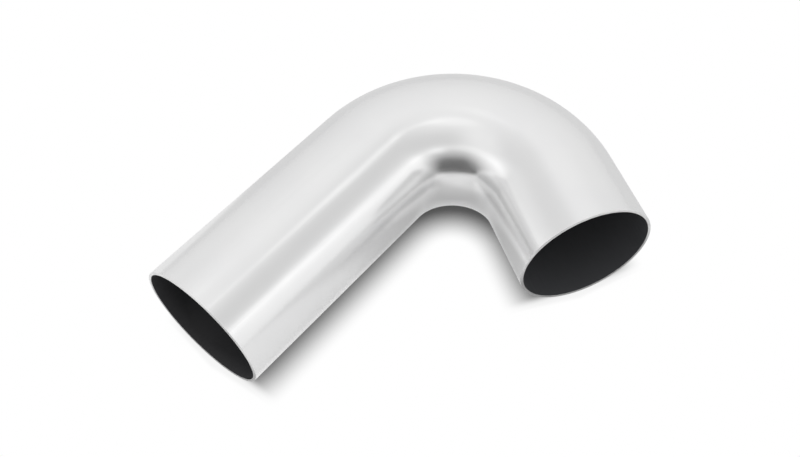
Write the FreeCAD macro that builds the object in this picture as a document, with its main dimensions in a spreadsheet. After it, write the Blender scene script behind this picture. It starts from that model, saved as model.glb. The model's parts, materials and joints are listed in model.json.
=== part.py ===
"""A mandrel-bent J tube: one length of thin aluminium tube with a long leg, a tight bend and a short leg.

Millimetres, +Z up. The origin is the centre of the long leg's mouth. The long leg runs along +X, and the
tube lies on its side, so its centreline is in the XY plane and the bend turns towards -Y. The mandrel keeps
the bore round while the tube is drawn about the former, so the wall is stretched thin along the outside of
the bend and crowded thick along the inside. The bore has a centreline of its own, which shares the legs and
turns on a slightly tighter radius, and that carries it outwards through the bend.
"""

import FreeCAD
import Part
import math
import os
import Sketcher

TUBE = "bent_tube"

# The driving dimensions, each with what it measures. Lengths are in millimetres and the angle in degrees.
SIZES = [
    ("tube_diameter", 76.2, "outside diameter, a 3 inch tube"),
    ("wall", 1.65, "wall of the straight legs, 16 gauge"),
    ("bend_radius", 59.0, "radius of the bend at the tube's centreline"),
    ("bend_angle", 120.0, "how far the bend turns"),
    ("long_leg", 133.0, "straight length before the bend"),
    ("short_leg", 45.0, "straight length after the bend"),
    ("wall_shift", 0.4, "thinning outside and thickening inside, at the middle of the bend"),
    ("outer_break", 0.4, "bevel around the outer edge of each cut end"),
    ("inner_break", 0.25, "bevel around the inner edge of each cut end"),
]

# The bore's tighter bend stays tangent to the same legs, so at its middle it lies further out by the drop in
# radius times 1 / cos(half the angle) - 1, and its legs run on by the drop times tan(half the angle).
HALF_TURN = "(Sizes.bend_angle / 2 * 1deg)"
RADIUS_DROP = f"(Sizes.wall_shift / (1 / cos({HALF_TURN}) - 1))"
LEG_GAIN = f"({RADIUS_DROP} * tan({HALF_TURN}))"

START, END, CENTRE = 1, 2, 3


def write_sheet(doc):
    """The sheet of driving dimensions: value, alias and meaning on each row."""
    sheet = doc.addObject("Spreadsheet::Sheet", "Sizes")
    for row, (alias, value, meaning) in enumerate(SIZES, start=1):
        sheet.set(f"A{row}", str(value))
        sheet.setAlias(f"A{row}", alias)
        sheet.set(f"B{row}", meaning)
    doc.recompute()
    return sheet


def origin_plane(body, role):
    return next(plane for plane in body.Origin.OriginFeatures if plane.Role == role)


def new_sketch(body, name, plane_role):
    sketch = body.newObject("Sketcher::SketchObject", name)
    sketch.AttachmentSupport = (origin_plane(body, plane_role), [""])
    sketch.MapMode = "FlatFace"
    return sketch


def drive(sketch, name, constraint, expression):
    """Adds a dimension to the sketch under a name of its own and binds it to the sheet."""
    index = sketch.addConstraint(constraint)
    sketch.renameConstraint(index, name)
    sketch.setExpression(f"Constraints.{name}", expression)


def centreline(body, sheet, name, radius, leg_gain):
    """Long leg, bend and short leg as one tangent chain in the XY plane, from the origin along +X."""
    sketch = new_sketch(body, name, "XY_Plane")
    # The first drawing has the sheet's own sizes, so that the chain is solved from its right side.
    corner = FreeCAD.Vector(sheet.long_leg, 0, 0)
    pivot = corner - FreeCAD.Vector(0, sheet.bend_radius, 0)
    circle = Part.Circle(pivot, FreeCAD.Vector(0, 0, 1), sheet.bend_radius)
    bend_start = math.pi / 2
    bend_end = bend_start - math.radians(sheet.bend_angle)
    heading = FreeCAD.Vector(math.cos(bend_start - bend_end), -math.sin(bend_start - bend_end), 0)
    bend_out = circle.value(bend_end)
    long_line = sketch.addGeometry(Part.LineSegment(FreeCAD.Vector(0, 0, 0), corner))
    bend_arc = sketch.addGeometry(Part.ArcOfCircle(circle, bend_end, bend_start))
    short_line = sketch.addGeometry(Part.LineSegment(bend_out, bend_out + heading * sheet.short_leg))
    sketch.addConstraint(Sketcher.Constraint("Coincident", long_line, START, -1, START))
    sketch.addConstraint(Sketcher.Constraint("Horizontal", long_line))
    sketch.addConstraint(Sketcher.Constraint("Tangent", long_line, END, bend_arc, END))
    sketch.addConstraint(Sketcher.Constraint("Tangent", bend_arc, START, short_line, START))
    drive(
        sketch,
        "long_leg",
        Sketcher.Constraint("Distance", long_line, sheet.long_leg),
        f"Sizes.long_leg + {leg_gain}",
    )
    drive(sketch, "bend_radius", Sketcher.Constraint("Radius", bend_arc, sheet.bend_radius), radius)
    drive(
        sketch,
        "bend_angle",
        Sketcher.Constraint("Angle", bend_arc, math.radians(sheet.bend_angle)),
        "Sizes.bend_angle * 1deg",
    )
    drive(
        sketch,
        "short_leg",
        Sketcher.Constraint("Distance", short_line, sheet.short_leg),
        f"Sizes.short_leg + {leg_gain}",
    )
    return sketch


def mouth_circle(body, name, diameter, expression):
    """A circle around the origin in the plane of the long leg's mouth."""
    sketch = new_sketch(body, name, "YZ_Plane")
    circle = Part.Circle(FreeCAD.Vector(0, 0, 0), FreeCAD.Vector(0, 0, 1), diameter / 2)
    ring = sketch.addGeometry(circle)
    sketch.addConstraint(Sketcher.Constraint("Coincident", ring, CENTRE, -1, START))
    drive(sketch, "diameter", Sketcher.Constraint("Diameter", ring, diameter), expression)
    return sketch


def sweep(body, kind, name, profile, spine):
    """Carries the profile along every edge of the spine."""
    pipe = body.newObject(kind, name)
    pipe.Profile = profile
    pipe.Spine = (spine, [f"Edge{number}" for number in range(1, len(spine.Shape.Edges) + 1)])
    pipe.Mode = "Frenet"
    return pipe


def rim_edges(shape, pick):
    """Names the circle that pick chooses, by radius, on each flat cut end."""
    cut_ends = [face for face in shape.Faces if isinstance(face.Surface, Part.Plane)]
    rims = [pick(face.Edges, key=lambda edge: edge.Curve.Radius) for face in cut_ends]
    return [
        f"Edge{number}"
        for number, edge in enumerate(shape.Edges, start=1)
        if any(edge.isSame(rim) for rim in rims)
    ]


def deburr(body, name, before, pick, alias):
    """Bevels the outer or the inner edge of both cut ends."""
    bevel = body.newObject("PartDesign::Chamfer", name)
    bevel.Base = (before, rim_edges(before.Shape, pick))
    bevel.setExpression("Size", f"Sizes.{alias}")
    return bevel


def build_tube(doc, sheet):
    body = doc.addObject("PartDesign::Body", "Tube")
    body.Label = TUBE
    axis = centreline(body, sheet, "Centreline", "Sizes.bend_radius", "0")
    outside = mouth_circle(body, "OutsideCircle", sheet.tube_diameter, "Sizes.tube_diameter")
    bore_axis = centreline(
        body, sheet, "BoreCentreline", f"Sizes.bend_radius - {RADIUS_DROP}", LEG_GAIN
    )
    bore = mouth_circle(
        body, "BoreCircle", sheet.tube_diameter, "Sizes.tube_diameter - 2 * Sizes.wall"
    )
    doc.recompute()
    sweep(body, "PartDesign::AdditivePipe", "BentBar", outside, axis)
    doc.recompute()
    bored = sweep(body, "PartDesign::SubtractivePipe", "Bore", bore, bore_axis)
    doc.recompute()
    outer = deburr(body, "OuterBevels", bored, max, "outer_break")
    doc.recompute()
    inner = deburr(body, "InnerBevels", outer, min, "inner_break")
    doc.recompute()
    body.Tip = inner
    return body


def check(doc, bodies):
    """Stops before anything is written if an object failed or a piece isn't one sound solid."""
    doc.recompute()
    failed = [item.Label for item in doc.Objects if {"Invalid", "Error"} & set(item.State)]
    unsound = [
        body.Label
        for body in bodies
        if body.Shape.isNull() or not body.Shape.isValid() or len(body.Shape.Solids) != 1
    ]
    if failed or unsound:
        raise RuntimeError(f"failed objects {failed}, unsound pieces {unsound}")


def main():
    doc = FreeCAD.newDocument("MandrelBend")
    sheet = write_sheet(doc)
    bodies = [build_tube(doc, sheet)]
    check(doc, bodies)
    os.makedirs("parts", exist_ok=True)
    for body in bodies:
        body.Shape.exportStep(os.path.join("parts", f"{body.Label}.step"))
        print(body.Label, f"{body.Shape.Volume / 1000:.2f} cm3", body.Shape.BoundBox)


main()
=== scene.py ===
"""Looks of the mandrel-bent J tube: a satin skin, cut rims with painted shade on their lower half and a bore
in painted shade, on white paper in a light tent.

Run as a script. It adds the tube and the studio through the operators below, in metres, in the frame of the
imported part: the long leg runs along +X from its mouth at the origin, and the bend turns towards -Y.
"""

import json
import math

import bmesh
import bpy
from bpy.props import FloatProperty, FloatVectorProperty, IntProperty, PointerProperty
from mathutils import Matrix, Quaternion, Vector


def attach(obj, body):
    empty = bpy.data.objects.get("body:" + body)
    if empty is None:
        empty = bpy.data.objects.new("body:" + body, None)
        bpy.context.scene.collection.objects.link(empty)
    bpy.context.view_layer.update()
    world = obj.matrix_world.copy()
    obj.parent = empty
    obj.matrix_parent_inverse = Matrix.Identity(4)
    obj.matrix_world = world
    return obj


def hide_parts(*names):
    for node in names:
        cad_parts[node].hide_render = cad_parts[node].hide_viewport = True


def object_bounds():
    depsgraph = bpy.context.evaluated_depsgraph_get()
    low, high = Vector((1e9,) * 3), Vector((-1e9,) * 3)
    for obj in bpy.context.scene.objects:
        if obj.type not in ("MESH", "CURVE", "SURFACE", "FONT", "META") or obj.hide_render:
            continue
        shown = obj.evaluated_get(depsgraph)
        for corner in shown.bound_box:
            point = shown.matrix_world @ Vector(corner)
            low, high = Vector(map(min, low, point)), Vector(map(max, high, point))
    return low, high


bl_info = {
    "name": "Mandrel Bend Tube",
    "version": (1, 0, 0),
    "blender": (4, 5, 0),
    "location": "3D View > Sidebar > Tube",
    "description": "Models a mandrel-bent tube over its packed solid and sets up a white studio around it",
    "category": "Add Mesh",
}

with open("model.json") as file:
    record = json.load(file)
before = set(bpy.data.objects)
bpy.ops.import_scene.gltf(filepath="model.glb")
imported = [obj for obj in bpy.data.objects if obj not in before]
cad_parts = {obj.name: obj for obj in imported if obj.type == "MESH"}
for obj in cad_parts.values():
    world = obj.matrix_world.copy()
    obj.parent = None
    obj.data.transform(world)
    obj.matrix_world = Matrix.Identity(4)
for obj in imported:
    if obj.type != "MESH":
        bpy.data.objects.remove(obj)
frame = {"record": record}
CAD_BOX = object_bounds()
MOUNTS = {mount["name"]: mount for mount in frame["record"]["mounts"]}

TUBE = "bent_tube"
ROOT = "root"
UNBENT = "unbent"
MM = 0.001
TOUCH = 0.00002
# Places of the cut rims' and the bore's materials in the tube's list, after the skin's.
RIM, BORE = 1, 2


def mount_size(name, key):
    """A mount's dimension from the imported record, in metres."""
    return MOUNTS[name]["dims"][key] * MM


class TubeSizes(bpy.types.PropertyGroup):
    outer_break: FloatProperty(
        name="Outer break", description="Bevel around the outer edge of each cut end",
        default=0.0004, unit="LENGTH", precision=5,
    )
    inner_break: FloatProperty(
        name="Inner break", description="Bevel around the inner edge of each cut end",
        default=0.00025, unit="LENGTH", precision=5,
    )
    break_steps: IntProperty(
        name="Break steps", description="Faces across each bevelled edge", default=3, min=1,
    )
    ring_steps: IntProperty(
        name="Ring steps", description="Edges around the tube", default=224, min=24,
    )
    bend_steps: IntProperty(
        name="Bend steps", description="Rings along the bend", default=96, min=12,
    )
    leg_ring_gap: FloatProperty(
        name="Leg ring gap", description="Distance between rings along the straight legs",
        default=0.011, unit="LENGTH", precision=4,
    )


class TubeFinish(bpy.types.PropertyGroup):
    skin_colour: FloatVectorProperty(
        name="Skin", description="Reflectance of the drawn aluminium skin",
        subtype="COLOR", size=3, default=(0.88, 0.88, 0.88), min=0, max=1,
    )
    haze_colour: FloatVectorProperty(
        name="Hazed skin", description="Reflectance where handling has dulled the skin",
        subtype="COLOR", size=3, default=(0.855, 0.855, 0.86), min=0, max=1,
    )
    skin_roughness: FloatProperty(
        name="Skin roughness", description="Roughness of the skin between its draw lines",
        default=0.15, min=0, max=1, subtype="FACTOR",
    )
    line_roughness: FloatProperty(
        name="Draw line roughness", description="Roughness along the draw lines",
        default=0.21, min=0, max=1, subtype="FACTOR",
    )
    rim_colour: FloatVectorProperty(
        name="Cut rim", description="Reflectance of the freshly cut end faces",
        subtype="COLOR", size=3, default=(0.9, 0.9, 0.9), min=0, max=1,
    )
    rim_mark_colour: FloatVectorProperty(
        name="Saw marks", description="Reflectance in the saw marks of the cut end faces",
        subtype="COLOR", size=3, default=(0.8, 0.8, 0.8), min=0, max=1,
    )
    # Painted shade: the lower half of the cut faces is darkened to stand for the shaded floor that it
    # mirrors.
    rim_painted_shade_colour: FloatVectorProperty(
        name="Painted shade on the lower cut rim", description="Reflectance of the duller lower half of the cut end faces",
        subtype="COLOR", size=3, default=(0.5, 0.5, 0.5), min=0, max=1,
    )
    # Painted shade: the bore's colours are darkened to stand for the shade inside the tube, paler at the
    # mouths and palest in the short leg.
    bore_shade_colour: FloatVectorProperty(
        name="Bore", description="Colour of the dark bore",
        subtype="COLOR", size=3, default=(0.03, 0.03, 0.032), min=0, max=1,
    )
    short_bore_shade_colour: FloatVectorProperty(
        name="Short leg's bore", description="Colour of the bore at the short leg's mouth",
        subtype="COLOR", size=3, default=(0.07, 0.072, 0.077), min=0, max=1,
    )
    # Colour of the bore's paler random patches, and of the painted light near both mouths.
    bore_bloom_and_mouth_light_colour: FloatVectorProperty(
        name="Bore bloom and mouth light", description="Colour of the paler patches of the bore",
        subtype="COLOR", size=3, default=(0.055, 0.055, 0.058), min=0, max=1,
    )
    # Height over which the painted shade on the lower cut faces fades in.
    rim_shade_fade: FloatProperty(
        name="Rim fade", description="Half the height over which the cut end faces turn dull",
        default=0.01, unit="LENGTH", precision=3,
    )
    haze_dulling: FloatProperty(
        name="Haze dulling", description="Roughness that the hazed patches add to the skin",
        default=0.03, min=0,
    )
    end_dulling: FloatProperty(
        name="End dulling", description="Roughness that the skin gains at the cut ends",
        default=0.05, min=0,
    )
    rim_roughness: FloatVectorProperty(
        name="Rim roughness", description="Roughness of the cut end faces between and in the saw marks",
        size=2, default=(0.3, 0.42), min=0, max=1,
    )
    bore_roughness: FloatVectorProperty(
        name="Bore roughness", description="Roughness of the bore between and along its draw lines",
        size=2, default=(0.5, 0.65), min=0, max=1,
    )
    bloom_strength: FloatProperty(
        name="Bloom strength", description="How far the paler patches reach the bloom's colour",
        default=0.7, min=0, max=1, subtype="FACTOR",
    )
    wave_scale: FloatProperty(
        name="Wave scale", description="Scale of the skin's slow waves, to the metre", default=45.0, min=0,
    )
    wave_depth: FloatProperty(
        name="Wave depth", description="Depth of the skin's slow waves",
        default=0.00006, unit="LENGTH", precision=6,
    )
    line_depth: FloatProperty(
        name="Draw line depth", description="Depth of the skin's draw lines, as a part of the waves' depth",
        default=0.005, min=0, precision=4,
    )
    saw_mark_depth: FloatProperty(
        name="Saw mark depth", description="Depth of the cut end faces' saw marks",
        default=0.00002, unit="LENGTH", precision=6,
    )
    bore_line_depth: FloatProperty(
        name="Bore line depth", description="Depth of the bore's draw lines",
        default=0.00004, unit="LENGTH", precision=6,
    )


class StudioSettings(bpy.types.PropertyGroup):
    camera_target: FloatVectorProperty(
        name="Camera target", description="Point that the camera turns about",
        subtype="XYZ", size=3, default=(0.10605, -0.0597, 0.0), precision=4,
    )
    camera_distance: FloatProperty(
        name="Camera distance", description="Distance from the target to the camera",
        default=0.4987, unit="LENGTH", precision=4,
    )
    camera_azimuth: FloatProperty(
        name="Camera azimuth", description="Heading of the view, clockwise from +Y seen from above",
        default=math.radians(49.62), subtype="ANGLE",
    )
    camera_elevation: FloatProperty(
        name="Camera elevation", description="How steeply the camera looks down",
        default=math.radians(57.49), subtype="ANGLE",
    )
    camera_roll: FloatProperty(
        name="Camera roll", description="Turn of the camera about its line of view",
        default=math.radians(0.865), subtype="ANGLE",
    )
    camera_lens: FloatProperty(
        name="Focal length", description="Focal length on a 36 mm wide sensor, in millimetres",
        default=41.72,
    )
    camera_shift: FloatVectorProperty(
        name="Lens shift", description="Shift of the lens, in frame widths",
        size=2, default=(-0.0286, 0.0344), precision=4,
    )
    floor_size: FloatProperty(
        name="Floor size", description="Side of the square sheet of paper", default=8.0, unit="LENGTH",
    )
    front_margin: FloatProperty(
        name="Front margin", description="How far the paper reaches past the tube towards the camera",
        default=0.36, unit="LENGTH",
    )
    floor_colour: FloatVectorProperty(
        name="Floor", description="Colour of the paper floor",
        subtype="COLOR", size=3, default=(0.86, 0.86, 0.86), min=0, max=1,
    )
    arch_heading: FloatProperty(
        name="Arch heading", description="Heading of the bright hem over the camera opening, in degrees",
        default=-141.0,
    )
    arch_half_width: FloatProperty(
        name="Arch half width", description="Half the width of the bright hem, in degrees", default=95.0,
    )
    arch_height: FloatProperty(
        name="Arch height", description="Height of the bright hem, in degrees", default=38.0,
    )
    arch_thickness: FloatProperty(
        name="Arch thickness", description="Thickness of the hem, as a part of its height", default=0.185,
    )
    arch_gain: FloatProperty(
        name="Arch gain", description="How much brighter than the cloth the hem is", default=0.16,
    )
    strip_offset: FloatProperty(
        name="Strip offset", description="How far the strip lamp is to the side, for a roof at height 1",
        default=-0.175,
    )
    strip_slope: FloatProperty(
        name="Strip slope", description="How much the strip lamp turns away from the long leg",
        default=-0.26,
    )
    strip_half_width: FloatProperty(
        name="Strip half width", description="Half the width of the strip lamp, for a roof at height 1",
        default=0.043,
    )
    strip_ends: FloatVectorProperty(
        name="Strip ends", description="Where the strip lamp starts and ends, for a roof at height 1",
        size=2, default=(-0.05, 0.5),
    )
    strip_softness: FloatProperty(
        name="Strip softness",
        description="Half the length of the strip lamp's soft ends, for a roof at height 1",
        default=0.08, min=0,
    )
    strip_gain: FloatProperty(
        name="Strip gain", description="How much brighter than the cloth the strip lamp is", default=0.24,
    )
    darkest: FloatProperty(
        name="Darkest", description="Brightness of the darkest part of the camera opening",
        default=0.15, min=0,
    )
    second_mirroring: FloatProperty(
        name="Second mirroring",
        description="Darkness of the camera opening where the tube mirrors it twice",
        default=0.35, min=0, max=1, subtype="FACTOR",
    )
    shadow_reach: FloatProperty(
        name="Shadow reach", description="How far from the tube the white floor stays shaded",
        default=0.022, unit="LENGTH", precision=3,
    )
    shadow_edges: FloatVectorProperty(
        name="Shadow edges",
        description="Distances from the centreline, from above, where the shade starts to fade and ends",
        size=2, default=(0.020, 0.045), precision=3,
    )
    deepest_shade: FloatProperty(
        name="Deepest shade", description="How bright the floor stays right under the tube",
        default=0.09, min=0,
    )
    end_fade: FloatProperty(
        name="End fade",
        description="How many times faster the shade fades past the tube's ends than beside it",
        default=8.0, min=1,
    )
    mouth_light: FloatProperty(
        name="Light at the mouths",
        description="How much of the floor's shading is gone in front of the mouths",
        default=0.75, min=0, max=1, subtype="FACTOR",
    )
    under_light: FloatProperty(
        name="Light under the tube",
        description="Glow of the shaded floor in the tube's own mirroring",
        default=0.36, min=0,
    )
    leg_light: FloatProperty(
        name="Light beside the long leg",
        description="Glow of the floor along the long leg in the tube's own mirroring",
        default=0.14, min=0,
    )
    leg_light_edges: FloatVectorProperty(
        name="Leg light edges",
        description="How far along the long leg the light beside it starts to fade and ends",
        size=2, default=(0.08, 0.12), precision=3,
    )
    open_floor: FloatProperty(
        name="Open floor", description="Openness from which the occlusion leaves the floor white",
        default=0.95, min=0, max=1, subtype="FACTOR",
    )
    distance_share: FloatProperty(
        name="Distance share",
        description="How much of the shade follows the distance from the centreline and not the occlusion",
        default=0.5, min=0, max=1, subtype="FACTOR",
    )
    mouth_edge: FloatProperty(
        name="Mouth edge", description="How far behind the cut ends the light at the mouths starts",
        default=0.008, unit="LENGTH", precision=3,
    )
    mouth_reach: FloatVectorProperty(
        name="Mouth reach",
        description="Distances from a mouth's centre where its light starts to fade and ends, in tube radii",
        size=2, default=(1.5, 2.5),
    )


class TubePath:
    """The centreline of the skin, or of the bore on its slightly tighter bend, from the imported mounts."""

    def __init__(self, leg_gain=0.0):
        """leg_gain is how much longer the legs are than the skin's, with the bend tighter to match."""
        sizes = bpy.context.scene.tube_sizes
        long_leg = mount_size("long_end", "length_mm") + sizes.outer_break
        short_leg = mount_size("short_end", "length_mm") + sizes.outer_break
        self.mouth = Vector(MOUNTS["short_end"]["pos_m"])
        self.heading = Vector(MOUNTS["short_end"]["axis"]).normalized()
        self.bend_angle = Vector((1, 0, 0)).angle(self.heading)
        skin_bend = (self.mouth.x - long_leg - short_leg * self.heading.x) / math.sin(self.bend_angle)
        self.bend_radius = skin_bend - leg_gain / math.tan(self.bend_angle / 2)
        self.long_leg = long_leg + leg_gain
        self.short_leg = short_leg + leg_gain
        self.bend_centre = Vector((self.long_leg, -self.bend_radius, 0))
        self.outward = Vector((math.sin(self.bend_angle), math.cos(self.bend_angle), 0))
        self.bend_length = self.bend_radius * self.bend_angle
        self.length = self.long_leg + self.bend_length + self.short_leg

    def unbend(self, point):
        """Where a point lies on the straight tube before bending: along it, out from the middle, and up."""
        arm = point - self.bend_centre
        past_bend = arm.dot(self.heading)
        if arm.y > 0 and arm.x < 0:
            return Vector((point.x, point.y, point.z))
        if past_bend > 0 and arm.dot(self.outward) > 0:
            along = self.long_leg + self.bend_length + past_bend
            return Vector((along, arm.dot(self.outward) - self.bend_radius, point.z))
        along = self.long_leg + math.atan2(arm.x, arm.y) * self.bend_radius
        return Vector((along, math.hypot(arm.x, arm.y) - self.bend_radius, point.z))

    def out_from_middle(self, point):
        """How far a point is from the centreline."""
        return self.unbend(point).yz.length


def bore_leg_gain():
    """How much longer the bore's legs are than the skin's, because its bend is a little tighter."""
    sizes = bpy.context.scene.tube_sizes
    bore_leg = mount_size("long_bore", "length_mm") + sizes.inner_break
    return bore_leg - mount_size("long_end", "length_mm") - sizes.outer_break


# Node helpers


def node(tree, kind, label="", **values):
    """Adds a node and sets its properties."""
    made = tree.nodes.new(kind)
    made.label = label
    for name, value in values.items():
        setattr(made, name, value)
    return made


def feed(tree, socket, source):
    """Sets an input to a plain value, or links it to an output."""
    if isinstance(source, bpy.types.NodeSocket):
        tree.links.new(source, socket)
    else:
        socket.default_value = source


def math_node(tree, operation, *inputs, clamp=False):
    """Adds a maths node, fed by plain values or outputs."""
    made = node(tree, "ShaderNodeMath", operation=operation, use_clamp=clamp)
    for socket, source in zip(made.inputs, inputs):
        feed(tree, socket, source)
    return made.outputs["Value"]


def vector_node(tree, operation, *inputs):
    """Adds a vector maths node. A dot product and a length give a number, and the others a vector."""
    made = node(tree, "ShaderNodeVectorMath", operation=operation)
    for socket, source in zip(made.inputs, inputs):
        feed(tree, socket, source)
    return made.outputs["Value" if operation in ("DOT_PRODUCT", "LENGTH") else "Vector"]


def split_xyz(tree, vector):
    """The X, Y and Z of a vector."""
    made = node(tree, "ShaderNodeSeparateXYZ")
    feed(tree, made.inputs["Vector"], vector)
    return made.outputs


def smooth_step(tree, value, low, high, to_low=0.0, to_high=1.0):
    made = node(tree, "ShaderNodeMapRange", interpolation_type="SMOOTHSTEP")
    for name, source in zip(
        ("Value", "From Min", "From Max", "To Min", "To Max"), (value, low, high, to_low, to_high)
    ):
        feed(tree, made.inputs[name], source)
    return made.outputs["Result"]


def mix_colours(tree, factor, first, second):
    made = node(tree, "ShaderNodeMix", data_type="RGBA")
    feed(tree, made.inputs["Factor"], factor)
    feed(tree, made.inputs["A"], first)
    feed(tree, made.inputs["B"], second)
    return made.outputs["Result"]


def opaque(colour):
    return (*colour, 1.0)


def new_group(name, inputs, outputs):
    """An empty shader node group with named sockets. Each input is a name, a kind and a default."""
    tree = bpy.data.node_groups.new(name, "ShaderNodeTree")
    for socket_name, kind, default in inputs:
        socket = tree.interface.new_socket(socket_name, in_out="INPUT", socket_type=kind)
        if default is not None:
            socket.default_value = default
    for socket_name, kind in outputs:
        tree.interface.new_socket(socket_name, in_out="OUTPUT", socket_type=kind)
    return tree, tree.nodes.new("NodeGroupInput").outputs, tree.nodes.new("NodeGroupOutput").inputs


def use_group(tree, group, **inputs):
    """Places a group in a material, with underscores in the input names for spaces."""
    placed = node(tree, "ShaderNodeGroup", node_tree=group, label=group.name)
    for name, source in inputs.items():
        feed(tree, placed.inputs[name.replace("_", " ").capitalize()], source)
    return placed.outputs


# Shared effects

# Values of the noise between which a draw line, a saw mark or a cloudy patch goes from nothing to full.
LINE_EDGES = (0.3, 0.7)
MARK_EDGES = (0.35, 0.65)
CLOUD_EDGES = (0.35, 0.7)


def draw_lines_group():
    """Fine lines that run along the tube, from the die that it was drawn through."""
    tree, given, out = new_group(
        "Draw lines",
        [
            ("Place", "NodeSocketVector", None),
            ("Line length", "NodeSocketFloat", 0.03),
            ("Line width", "NodeSocketFloat", 0.0004),
        ],
        [("Lines", "NodeSocketFloat")],
    )
    per_length = math_node(tree, "DIVIDE", 1.0, given["Line length"])
    per_width = math_node(tree, "DIVIDE", 1.0, given["Line width"])
    stretch = node(tree, "ShaderNodeCombineXYZ")
    feed(tree, stretch.inputs["X"], per_length)
    feed(tree, stretch.inputs["Y"], per_width)
    feed(tree, stretch.inputs["Z"], per_width)
    placed = vector_node(tree, "MULTIPLY", given["Place"], stretch.outputs["Vector"])
    noise = node(tree, "ShaderNodeTexNoise")
    feed(tree, noise.inputs["Vector"], placed)
    feed(tree, noise.inputs["Scale"], 1.0)
    feed(tree, noise.inputs["Detail"], 3.0)
    feed(tree, noise.inputs["Roughness"], 0.6)
    feed(tree, out["Lines"], noise.outputs["Fac"])
    return tree


def soft_patches_group():
    """Broad cloudy patches, as handling and wiping leave on bare metal, and the paler random patches in the
    bore's painted shade.
    """
    tree, given, out = new_group(
        "Soft patches",
        [
            ("Place", "NodeSocketVector", None),
            ("Patch size", "NodeSocketFloat", 0.03),
            ("Amount", "NodeSocketFloat", 0.5),
        ],
        [("Patches", "NodeSocketFloat")],
    )
    noise = node(tree, "ShaderNodeTexNoise")
    feed(tree, noise.inputs["Vector"], given["Place"])
    feed(tree, noise.inputs["Scale"], math_node(tree, "DIVIDE", 1.0, given["Patch size"]))
    feed(tree, noise.inputs["Detail"], 2.0)
    clouds = smooth_step(tree, noise.outputs["Fac"], *CLOUD_EDGES)
    feed(tree, out["Patches"], math_node(tree, "MULTIPLY", clouds, given["Amount"]))
    return tree


def near_ends_group():
    """A mask that is 1 at the cut ends and fades along the tube."""
    tree, given, out = new_group(
        "Near ends",
        [
            ("Place", "NodeSocketVector", None),
            ("Tube length", "NodeSocketFloat", 0.3),
            ("Reach", "NodeSocketFloat", 0.002),
        ],
        [("Mask", "NodeSocketFloat")],
    )
    along = split_xyz(tree, given["Place"])["X"]
    from_far = math_node(tree, "SUBTRACT", given["Tube length"], along)
    nearest = math_node(tree, "MINIMUM", along, from_far)
    feed(tree, out["Mask"], smooth_step(tree, nearest, 0.0, given["Reach"], 1.0, 0.0))
    return tree


class Effects:
    """The node groups that the materials share, built once."""

    def __init__(self):
        self.draw_lines = draw_lines_group()
        self.soft_patches = soft_patches_group()
        self.near_ends = near_ends_group()


# Materials


def new_material(name, metallic):
    """A material with its shader, and the place on the unbent tube that its patterns follow."""
    material = bpy.data.materials.new(name)
    material.use_nodes = True
    tree = material.node_tree
    shader = tree.nodes["Principled BSDF"]
    shader.inputs["Metallic"].default_value = metallic
    place = node(tree, "ShaderNodeAttribute", attribute_name=UNBENT).outputs["Vector"]
    return material, tree, shader, place


def bump(tree, shader, height, depth):
    """Gives a shader a relief that is as deep as said where the height goes from 0 to 1."""
    made = node(tree, "ShaderNodeBump")
    made.inputs["Distance"].default_value = depth
    feed(tree, made.inputs["Height"], height)
    feed(tree, shader.inputs["Normal"], made.outputs["Normal"])


def skin_material(effects, path):
    """Drawn aluminium: satin, with fine lines along the tube and soft hazed patches, duller at its ends."""
    finish = bpy.context.scene.tube_finish
    material, tree, shader, place = new_material("Drawn aluminium", metallic=1.0)
    lines = use_group(tree, effects.draw_lines, place=place, line_length=0.04, line_width=0.0006)["Lines"]
    haze = use_group(tree, effects.soft_patches, place=place, patch_size=0.035, amount=0.6)["Patches"]
    ends = use_group(tree, effects.near_ends, place=place, tube_length=path.length, reach=0.003)["Mask"]
    colour = mix_colours(tree, haze, opaque(finish.skin_colour), opaque(finish.haze_colour))
    feed(tree, shader.inputs["Base Color"], colour)
    lined = smooth_step(tree, lines, *LINE_EDGES, finish.skin_roughness, finish.line_roughness)
    hazed = math_node(tree, "MULTIPLY_ADD", haze, finish.haze_dulling, lined)
    feed(tree, shader.inputs["Roughness"], math_node(tree, "MULTIPLY_ADD", ends, finish.end_dulling, hazed))
    waves = node(tree, "ShaderNodeTexNoise", label="Slow waves of the drawn wall")
    feed(tree, waves.inputs["Vector"], place)
    waves.inputs["Scale"].default_value = finish.wave_scale
    waves.inputs["Detail"].default_value = 1.0
    height = math_node(tree, "MULTIPLY_ADD", lines, finish.line_depth, waves.outputs["Fac"])
    bump(tree, shader, height, finish.wave_depth)
    return material


def rim_material(effects):
    """The cut ends: bright metal with fine straight saw marks, with painted shade on the lower half, where
    the faces mirror the shaded floor.
    """
    finish = bpy.context.scene.tube_finish
    material, tree, shader, place = new_material("Cut rim", metallic=1.0)
    marks = use_group(tree, effects.draw_lines, place=place, line_length=0.0003, line_width=0.004)["Lines"]
    stripe = smooth_step(tree, marks, *MARK_EDGES)
    colour = mix_colours(tree, stripe, opaque(finish.rim_colour), opaque(finish.rim_mark_colour))
    # Painted shade: the cut faces turn darker towards their lower half, standing for a reflection of the
    # shaded floor under the tube.
    up = split_xyz(tree, place)["Z"]
    low = smooth_step(tree, up, -finish.rim_shade_fade, finish.rim_shade_fade, 1.0, 0.0)
    colour = mix_colours(tree, low, colour, opaque(finish.rim_painted_shade_colour))
    feed(tree, shader.inputs["Base Color"], colour)
    feed(tree, shader.inputs["Roughness"], smooth_step(tree, stripe, 0.0, 1.0, *finish.rim_roughness))
    bump(tree, shader, marks, finish.saw_mark_depth)
    return material


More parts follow.
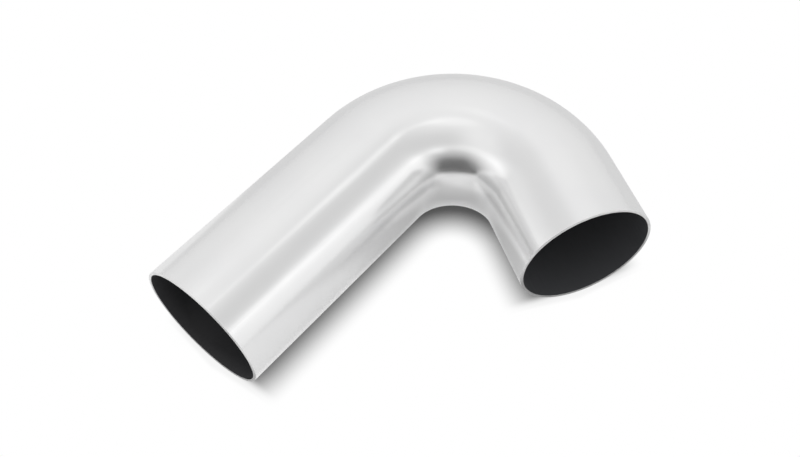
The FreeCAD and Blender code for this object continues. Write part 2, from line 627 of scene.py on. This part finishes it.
def bore_material(effects, path):
    """The bore in painted shade: dark charcoal with faint lines and paler random patches, and painted light
    that makes it paler near both mouths and palest in the short leg.
    """
    finish = bpy.context.scene.tube_finish
    material, tree, shader, place = new_material("Bore in painted shade", metallic=0.0)
    shader.inputs["Specular IOR Level"].default_value = 0.3
    lines = use_group(tree, effects.draw_lines, place=place, line_length=0.03, line_width=0.0012)["Lines"]
    bloom = use_group(tree, effects.soft_patches, place=place, patch_size=0.025, amount=1.0)["Patches"]
    ends = use_group(tree, effects.near_ends, place=place, tube_length=path.length, reach=0.012)["Mask"]
    # Painted light: the bore's painted shade turns paler within reach of both cut ends, and along the bend
    # towards the short leg's mouth.
    pale_and_mouth_light = math_node(tree, "MAXIMUM", math_node(tree, "MULTIPLY", bloom, finish.bloom_strength), ends)
    colour = mix_colours(tree, pale_and_mouth_light, opaque(finish.bore_shade_colour), opaque(finish.bore_bloom_and_mouth_light_colour))
    short_end = smooth_step(tree, split_xyz(tree, place)["X"], path.long_leg, path.length)
    colour = mix_colours(tree, short_end, colour, opaque(finish.short_bore_shade_colour))
    feed(tree, shader.inputs["Base Color"], colour)
    feed(tree, shader.inputs["Roughness"], smooth_step(tree, lines, *LINE_EDGES, *finish.bore_roughness))
    bump(tree, shader, lines, finish.bore_line_depth)
    return material


# Tube


def skin_radius():
    return mount_size("long_end", "r_mm")


def bore_radius():
    return mount_size("long_bore", "r_mm")


def mouths(path):
    """Centre and outward direction of both cut ends."""
    return [(Vector((0, 0, 0)), Vector((-1, 0, 0))), (path.mouth, path.heading)]


def draw_out(run):
    """Extrudes the selected ring along a run, in even steps."""
    sizes = bpy.context.scene.tube_sizes
    steps = max(1, round(run.length / sizes.leg_ring_gap))
    for _ in range(steps):
        bpy.ops.mesh.extrude_region_move(TRANSFORM_OT_translate={"value": run / steps})


def turn(path, angle):
    """Spins the selected ring about the middle of the bend."""
    sizes = bpy.context.scene.tube_sizes
    bpy.ops.mesh.spin(steps=sizes.bend_steps, angle=angle, center=path.bend_centre, axis=(0, 0, 1))


def step_across(mouth, ratio):
    """Extrudes the selected ring across a cut end, to a ring of another radius."""
    bpy.ops.mesh.extrude_region_move()
    bpy.ops.transform.resize(value=(ratio, ratio, ratio), center_override=mouth)


def draw_wall(skin_path, bore_path):
    """Draws the skin out from the long mouth, steps across the short mouth, and draws the bore back."""
    sizes = bpy.context.scene.tube_sizes
    long_mouth = Vector((0, 0, 0))
    along = Vector((1, 0, 0))
    bpy.ops.object.select_all(action="DESELECT")
    bpy.ops.mesh.primitive_circle_add(
        vertices=sizes.ring_steps, radius=skin_radius(), fill_type="NOTHING", rotation=(0, math.pi / 2, 0)
    )
    tube = bpy.context.object
    tube.name = "tube"
    bpy.ops.object.transform_apply(location=False, rotation=True, scale=False)
    bpy.ops.object.mode_set(mode="EDIT")
    bpy.ops.mesh.select_all(action="SELECT")
    draw_out(along * skin_path.long_leg)
    turn(skin_path, skin_path.bend_angle)
    draw_out(skin_path.heading * skin_path.short_leg)
    step_across(skin_path.mouth, bore_radius() / skin_radius())
    draw_out(-bore_path.heading * bore_path.short_leg)
    turn(bore_path, -bore_path.bend_angle)
    draw_out(-along * bore_path.long_leg)
    step_across(long_mouth, skin_radius() / bore_radius())
    bpy.ops.mesh.select_all(action="SELECT")
    bpy.ops.mesh.remove_doubles(threshold=TOUCH)
    bpy.ops.mesh.normals_make_consistent(inside=False)
    return tube


def near_mouth(point, path, depth):
    """Whether a point is within a depth of either cut end."""
    return any(
        abs((point - centre).dot(outward)) < depth and (point - centre).length < 2 * skin_radius()
        for centre, outward in mouths(path)
    )


def select_edges(wanted):
    """Selects only the edges whose two ends satisfy a test."""
    bpy.ops.mesh.select_all(action="DESELECT")
    bpy.ops.mesh.select_mode(type="EDGE")
    mesh = bmesh.from_edit_mesh(bpy.context.object.data)
    for edge in mesh.edges:
        if all(wanted(corner.co) for corner in edge.verts):
            edge.select_set(True)
    bmesh.update_edit_mesh(bpy.context.object.data)


def select_faces(wanted):
    """Selects only the faces whose corners all satisfy a test."""
    bpy.ops.mesh.select_all(action="DESELECT")
    bpy.ops.mesh.select_mode(type="FACE")
    mesh = bmesh.from_edit_mesh(bpy.context.object.data)
    for face in mesh.faces:
        if all(wanted(corner.co) for corner in face.verts):
            face.select_set(True)
    bmesh.update_edit_mesh(bpy.context.object.data)


def break_edges(path):
    """Bevels the outer and the inner edge of both cut ends."""
    sizes = bpy.context.scene.tube_sizes
    for radius, size in ((skin_radius(), sizes.outer_break), (bore_radius(), sizes.inner_break)):
        def on_rim(point):
            return near_mouth(point, path, TOUCH) and abs(path.out_from_middle(point) - radius) < TOUCH

        select_edges(on_rim)
        bpy.ops.mesh.bevel(offset=size, segments=sizes.break_steps, affect="EDGES")


def paint(tube, path):
    """Gives the bore and the cut ends, with their bevels, materials of their own."""
    sizes = bpy.context.scene.tube_sizes
    middle_of_wall = (skin_radius() + bore_radius()) / 2
    select_faces(lambda point: path.out_from_middle(point) < middle_of_wall)
    tube.active_material_index = BORE
    bpy.ops.object.material_slot_assign()
    depth = max(sizes.outer_break, sizes.inner_break) + TOUCH
    select_faces(lambda point: near_mouth(point, path, depth))
    tube.active_material_index = RIM
    bpy.ops.object.material_slot_assign()


def note_unbent_place(tube, path):
    """Keeps each point's place on the straight tube, for the patterns that were there before bending."""
    attribute = tube.data.attributes.new(UNBENT, "FLOAT_VECTOR", "POINT")
    places = [path.unbend(corner.co) for corner in tube.data.vertices]
    attribute.data.foreach_set("vector", [value for place in places for value in place])


class TUBE_OT_add_tube(bpy.types.Operator):
    """Models the bent tube: skin, bore and cut rims as one closed wall"""

    bl_idname = "tube.add_tube"
    bl_label = "Add bent tube"

    def execute(self, context):
        skin_path = TubePath()
        bore_path = TubePath(bore_leg_gain())
        tube = draw_wall(skin_path, bore_path)
        effects = Effects()
        for material in (
            skin_material(effects, skin_path), rim_material(effects), bore_material(effects, skin_path)
        ):
            tube.data.materials.append(material)
        break_edges(skin_path)
        paint(tube, skin_path)
        bpy.ops.object.mode_set(mode="OBJECT")
        bpy.ops.object.shade_smooth_by_angle(angle=math.radians(12))
        note_unbent_place(tube, skin_path)
        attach(tube, ROOT)
        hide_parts(TUBE)
        return {"FINISHED"}


# Studio

# Brightness of the tent's cloth at heights above the floor. All angles of the studio's lights are in degrees,
# and headings are counter-clockwise from +X.
CLOTH = [(0, 0.79), (30, 0.88), (60, 0.93), (90, 0.90)]
ZENITH = 90.0

# The strip lamp is placed as on a roof one unit up, and no lower than this where the view is level.
LOWEST_ROOF = 0.3

# A ray that the tube has mirrored once reaches the tent at a depth of 2, and one mirrored twice at 3.
MIRRORED_TWICE = 2.5

# Soft-edged cards of the tent: heading and height of the middle, half the width and height, width of the soft
# sides and edges, and how much brighter than the cloth the card is, or darker below zero.
CARDS = [
    ("Camera opening", -152, 4, 55, 21, 66, 32, -0.74),
    ("Left card", 160, 18, 25, 13, 45, 20, 0.42),
    ("Right card", -80, 11, 14, 19, 52, 12, 0.30),
    ("Grey band above the cards", -80, 50, 75, 17, 55, 28, -0.19),
    ("Grey band on the left", 110, 49, 34, 18, 38, 25, -0.12),
    ("Roof lamp", -125, 84, 80, 8, 30, 10, 0.12),
    ("Roof corner", -30, 60, 8, 5, 8, 11, 0.30),
    ("Back of the roof", 65, 74, 25, 4, 40, 12, 0.12),
    ("Front hem", -112, 33, 12, 3, 28, 9, 0.40),
]


def window(tree, offset, half, soft):
    """1 within half of the middle and 0 outside, with a soft side."""
    outside = math_node(tree, "MULTIPLY_ADD", soft, 0.5, half)
    inside = math_node(tree, "SUBTRACT", outside, soft)
    return smooth_step(tree, math_node(tree, "ABSOLUTE", offset), inside, outside, 1.0, 0.0)


def turned(tree, heading, middle):
    """How far a heading is from a middle, the short way round."""
    return math_node(tree, "WRAP", math_node(tree, "SUBTRACT", heading, middle), 180.0, -180.0)


def card_group():
    """What a soft card adds in a direction."""
    names = (
        "Heading", "Height", "Middle heading", "Middle height",
        "Half width", "Half height", "Soft sides", "Soft edges", "Gain",
    )
    tree, given, out = new_group(
        "Soft card", [(name, "NodeSocketFloat", 0.0) for name in names], [("Light", "NodeSocketFloat")]
    )
    across = turned(tree, given["Heading"], given["Middle heading"])
    up = math_node(tree, "SUBTRACT", given["Height"], given["Middle height"])
    wide = window(tree, across, given["Half width"], given["Soft sides"])
    high = window(tree, up, given["Half height"], given["Soft edges"])
    both = math_node(tree, "MULTIPLY", wide, high)
    feed(tree, out["Light"], math_node(tree, "MULTIPLY", both, given["Gain"]))
    return tree


def arch_light(tree, heading, height, studio):
    """The bright hem that arches over the camera opening."""
    across = turned(tree, heading, studio.arch_heading)
    across = math_node(tree, "DIVIDE", across, studio.arch_half_width)
    up = math_node(tree, "DIVIDE", height, studio.arch_height)
    squares = math_node(tree, "ADD", math_node(tree, "POWER", across, 2.0), math_node(tree, "POWER", up, 2.0))
    span = math_node(tree, "SQRT", squares)
    off_hem = math_node(tree, "ABSOLUTE", math_node(tree, "SUBTRACT", span, 1.0))
    return smooth_step(tree, off_hem, 0.0, studio.arch_thickness, studio.arch_gain, 0.0)


def strip_light(tree, x, y, z, studio):
    """A thin strip lamp under the roof, as wide as it looks from the tube with the roof one unit up."""
    roof = math_node(tree, "MAXIMUM", z, LOWEST_ROOF)
    along = math_node(tree, "DIVIDE", x, roof)
    aside = math_node(tree, "MULTIPLY_ADD", along, -studio.strip_slope, math_node(tree, "DIVIDE", y, roof))
    off_strip = math_node(tree, "ABSOLUTE", math_node(tree, "SUBTRACT", aside, studio.strip_offset))
    glow = smooth_step(tree, off_strip, 0.0, studio.strip_half_width, studio.strip_gain, 0.0)
    start, end = studio.strip_ends
    soft = studio.strip_softness
    started = smooth_step(tree, along, start - soft, start + soft)
    ended = smooth_step(tree, along, end - soft, end + soft, 1.0, 0.0)
    return math_node(tree, "MULTIPLY", glow, math_node(tree, "MULTIPLY", started, ended))


def light_tent(world, studio):
    """A pale tent with soft cards and a dark opening for the camera. The camera itself sees plain white."""
    world.use_nodes = True
    tree = world.node_tree
    background = tree.nodes["Background"]
    direction = node(tree, "ShaderNodeTexCoord").outputs["Generated"]
    x, y, z = split_xyz(tree, direction)
    heading = math_node(tree, "DEGREES", math_node(tree, "ARCTAN2", y, x))
    height = math_node(tree, "DEGREES", math_node(tree, "ARCSINE", z))
    ramp = node(tree, "ShaderNodeValToRGB", label="Tent cloth")
    feed(tree, ramp.inputs["Fac"], math_node(tree, "DIVIDE", height, ZENITH, clamp=True))
    stops = ramp.color_ramp.elements
    stops.remove(stops[1])
    for rise, brightness in CLOTH:
        stop = stops.new(rise / ZENITH) if rise else stops[0]
        stop.color = (brightness, brightness, brightness, 1.0)
    lights = [arch_light(tree, heading, height, studio), strip_light(tree, x, y, z, studio)]
    group = card_group()
    rays = node(tree, "ShaderNodeLightPath")
    mirrored_again = math_node(tree, "GREATER_THAN", rays.outputs["Ray Depth"], MIRRORED_TWICE)
    for name, middle, rise, half_width, half_height, sides, edges, gain in CARDS:
        if name == "Camera opening":
            gain = smooth_step(tree, mirrored_again, 0.0, 1.0, gain, gain * studio.second_mirroring)
        card = use_group(
            tree, group, heading=heading, height=height, middle_heading=middle, middle_height=rise,
            half_width=half_width, half_height=half_height, soft_sides=sides, soft_edges=edges, gain=gain,
        )
        card["Light"].node.label = name
        lights.append(card["Light"])
    total = ramp.outputs["Color"]
    for light in lights:
        total = math_node(tree, "ADD", total, light)
    lit = math_node(tree, "MAXIMUM", total, studio.darkest)
    shown = node(tree, "ShaderNodeMix", data_type="FLOAT")
    feed(tree, shown.inputs["Factor"], rays.outputs["Is Camera Ray"])
    feed(tree, shown.inputs["A"], lit)
    feed(tree, shown.inputs["B"], 1.0)
    feed(tree, background.inputs["Color"], shown.outputs["Result"])


def in_front_of_mouths(tree, place, studio):
    """1 on the floor in front of the open mouths, where light reaches it from the front, and 0 elsewhere."""
    masks = []
    for centre, outward in mouths(TubePath()):
        arm = vector_node(tree, "SUBTRACT", place, centre)
        past_end = vector_node(tree, "DOT_PRODUCT", arm, outward)
        in_front = smooth_step(tree, past_end, -studio.mouth_edge, 0.0)
        apart = math_node(tree, "DIVIDE", vector_node(tree, "LENGTH", arm), skin_radius())
        near = smooth_step(tree, apart, *studio.mouth_reach, 1.0, 0.0)
        masks.append(math_node(tree, "MULTIPLY", in_front, near))
    return math_node(tree, "MAXIMUM", *masks)


def past(tree, value, end, sign):
    """How far a value is past an end, on its upper side with a sign of 1 and on its lower side with -1."""
    beyond = math_node(tree, "MULTIPLY", math_node(tree, "SUBTRACT", value, end), sign)
    return math_node(tree, "MAXIMUM", beyond, 0.0)


def unless(tree, distance, comparison, value, limit):
    """The distance, or a metre more where the comparison holds, so that another part is the nearest."""
    return math_node(tree, "ADD", distance, math_node(tree, comparison, value, limit))


def off_centreline(tree, place, studio):
    """How far the floor is from the tube's centreline seen from above, growing fast past the tube's ends."""
    path = TubePath()
    x, y, _ = split_xyz(tree, place)
    arm = vector_node(tree, "SUBTRACT", place, path.bend_centre + Vector((0, 0, CAD_BOX[0][2])))
    past_bend = vector_node(tree, "DOT_PRODUCT", arm, path.heading)
    outward = vector_node(tree, "DOT_PRODUCT", arm, path.outward)
    spoke = vector_node(tree, "LENGTH", arm)
    off_bend = math_node(tree, "ABSOLUTE", math_node(tree, "SUBTRACT", spoke, path.bend_radius))
    off_bend = unless(tree, off_bend, "LESS_THAN", x, path.long_leg)
    off_bend = unless(tree, off_bend, "GREATER_THAN", past_bend, 0.0)
    off_long = unless(tree, math_node(tree, "ABSOLUTE", y), "GREATER_THAN", x, path.long_leg)
    off_long = math_node(tree, "MULTIPLY_ADD", past(tree, x, 0.0, -1.0), studio.end_fade, off_long)
    off_short = math_node(tree, "ABSOLUTE", math_node(tree, "SUBTRACT", outward, path.bend_radius))
    off_short = unless(tree, off_short, "LESS_THAN", past_bend, 0.0)
    past_short = past(tree, past_bend, path.short_leg, 1.0)
    off_short = math_node(tree, "MULTIPLY_ADD", past_short, studio.end_fade, off_short)
    return math_node(tree, "MINIMUM", off_bend, math_node(tree, "MINIMUM", off_long, off_short))


def paper_seen(tree, place, openness, lightened, studio):
    """The paper to the camera: white, shaded by occlusion and by the distance from the centreline."""
    aside = smooth_step(tree, off_centreline(tree, place, studio), *studio.shadow_edges)
    around = smooth_step(tree, openness, 0.0, studio.open_floor)
    difference = math_node(tree, "SUBTRACT", aside, around)
    unshaded = math_node(tree, "MULTIPLY_ADD", difference, studio.distance_share, around)
    unshaded = math_node(tree, "MAXIMUM", unshaded, studio.deepest_shade)
    white = node(tree, "ShaderNodeEmission", label="Shaded white")
    feed(tree, white.inputs["Strength"], smooth_step(tree, lightened, 0.0, 1.0, unshaded, 1.0))
    return white.outputs["Emission"]


def paper_mirrored(tree, place, openness, lightened, mirroring, studio):
    """The paper to the tube: lit by the tent, with a glow under the tube and along the long leg."""
    paper = node(tree, "ShaderNodeBsdfDiffuse")
    feed(tree, paper.inputs["Color"], opaque(studio.floor_colour))
    opened = smooth_step(tree, lightened, 0.0, 1.0, openness, 1.0)
    covered = math_node(tree, "SUBTRACT", 1.0, opened)
    along = split_xyz(tree, place)["X"]
    beside_leg = smooth_step(tree, along, *studio.leg_light_edges, studio.leg_light, 0.0)
    light = math_node(tree, "MULTIPLY_ADD", covered, studio.under_light, beside_leg)
    glow = node(tree, "ShaderNodeEmission", label="Light under the tube, in its own mirroring")
    feed(tree, glow.inputs["Strength"], math_node(tree, "MULTIPLY", light, mirroring))
    both = node(tree, "ShaderNodeAddShader")
    feed(tree, both.inputs[0], paper.outputs["BSDF"])
    feed(tree, both.inputs[1], glow.outputs["Emission"])
    return both.outputs["Shader"]


def floor_material(studio):
    """White paper. The camera sees it as white, shaded only close around the tube, as in a light tent."""
    material = bpy.data.materials.new("White paper")
    material.use_nodes = True
    tree = material.node_tree
    tree.nodes.clear()
    place = node(tree, "ShaderNodeNewGeometry").outputs["Position"]
    occlusion = node(tree, "ShaderNodeAmbientOcclusion", samples=16)
    occlusion.inputs["Distance"].default_value = studio.shadow_reach
    openness = occlusion.outputs["AO"]
    lightened = math_node(tree, "MULTIPLY", in_front_of_mouths(tree, place, studio), studio.mouth_light)
    rays = node(tree, "ShaderNodeLightPath").outputs
    mirrored = paper_mirrored(tree, place, openness, lightened, rays["Is Glossy Ray"], studio)
    shown = node(tree, "ShaderNodeMixShader")
    seen = math_node(tree, "MAXIMUM", rays["Is Camera Ray"], rays["Is Transmission Ray"])
    feed(tree, shown.inputs["Fac"], seen)
    feed(tree, shown.inputs[1], mirrored)
    feed(tree, shown.inputs[2], paper_seen(tree, place, openness, lightened, studio))
    feed(tree, node(tree, "ShaderNodeOutputMaterial").inputs["Surface"], shown.outputs["Shader"])
    return material


def add_floor(studio):
    """Lays the paper square to the view, with its front edge a little way in front of the tube."""
    lowest, highest = CAD_BOX
    level = Vector((math.sin(studio.camera_azimuth), math.cos(studio.camera_azimuth), 0))
    middle = (Vector(lowest) + Vector(highest)) / 2
    middle += level * (studio.floor_size / 2 - studio.front_margin)
    bpy.ops.object.select_all(action="DESELECT")
    bpy.ops.mesh.primitive_plane_add(
        size=studio.floor_size,
        location=(middle.x, middle.y, lowest[2]),
        rotation=(0, 0, -studio.camera_azimuth),
    )
    floor = bpy.context.object
    floor.name = "floor"
    bpy.ops.object.transform_apply(location=True, rotation=True, scale=False)
    floor.data.materials.append(floor_material(studio))


def add_camera(studio):
    """Sets the camera on its arm about the target, then rolls it about its line of view."""
    level = math.cos(studio.camera_elevation)
    view = Vector(
        (
            level * math.sin(studio.camera_azimuth),
            level * math.cos(studio.camera_azimuth),
            -math.sin(studio.camera_elevation),
        )
    )
    place = Vector(studio.camera_target) - view * studio.camera_distance
    turn = view.to_track_quat("-Z", "Y") @ Quaternion((0, 0, 1), -studio.camera_roll)
    bpy.ops.object.camera_add(location=place, rotation=turn.to_euler())
    camera = bpy.context.object
    camera.name = "camera"
    camera.data.sensor_width = 36.0
    camera.data.lens = studio.camera_lens
    camera.data.shift_x, camera.data.shift_y = studio.camera_shift
    camera.data.clip_end = 50.0
    bpy.context.scene.camera = camera


class TUBE_OT_add_stage(bpy.types.Operator):
    """Sets up the white floor, the light tent and the camera"""

    bl_idname = "tube.add_stage"
    bl_label = "Add studio"

    def execute(self, context):
        studio = context.scene.studio_settings
        add_floor(studio)
        context.scene.world = bpy.data.worlds.new("Light tent")
        light_tent(context.scene.world, studio)
        add_camera(studio)
        context.scene.view_settings.view_transform = "Standard"
        return {"FINISHED"}


class TUBE_PT_panel(bpy.types.Panel):
    """Lists the operators that build the tube and its studio"""

    bl_idname = "TUBE_PT_panel"
    bl_label = "Mandrel bend tube"
    bl_space_type = "VIEW_3D"
    bl_region_type = "UI"
    bl_category = "Tube"

    def draw(self, context):
        self.layout.operator(TUBE_OT_add_tube.bl_idname)
        self.layout.operator(TUBE_OT_add_stage.bl_idname)


CLASSES = (TubeSizes, TubeFinish, StudioSettings, TUBE_OT_add_tube, TUBE_OT_add_stage, TUBE_PT_panel)


def register():
    for each in CLASSES:
        bpy.utils.register_class(each)
    bpy.types.Scene.tube_sizes = PointerProperty(type=TubeSizes)
    bpy.types.Scene.tube_finish = PointerProperty(type=TubeFinish)
    bpy.types.Scene.studio_settings = PointerProperty(type=StudioSettings)


def unregister():
    del bpy.types.Scene.studio_settings
    del bpy.types.Scene.tube_finish
    del bpy.types.Scene.tube_sizes
    for each in reversed(CLASSES):
        bpy.utils.unregister_class(each)


def main():
    register()
    bpy.ops.tube.add_tube()
    bpy.ops.tube.add_stage()


if __name__ == "__main__":
    main()
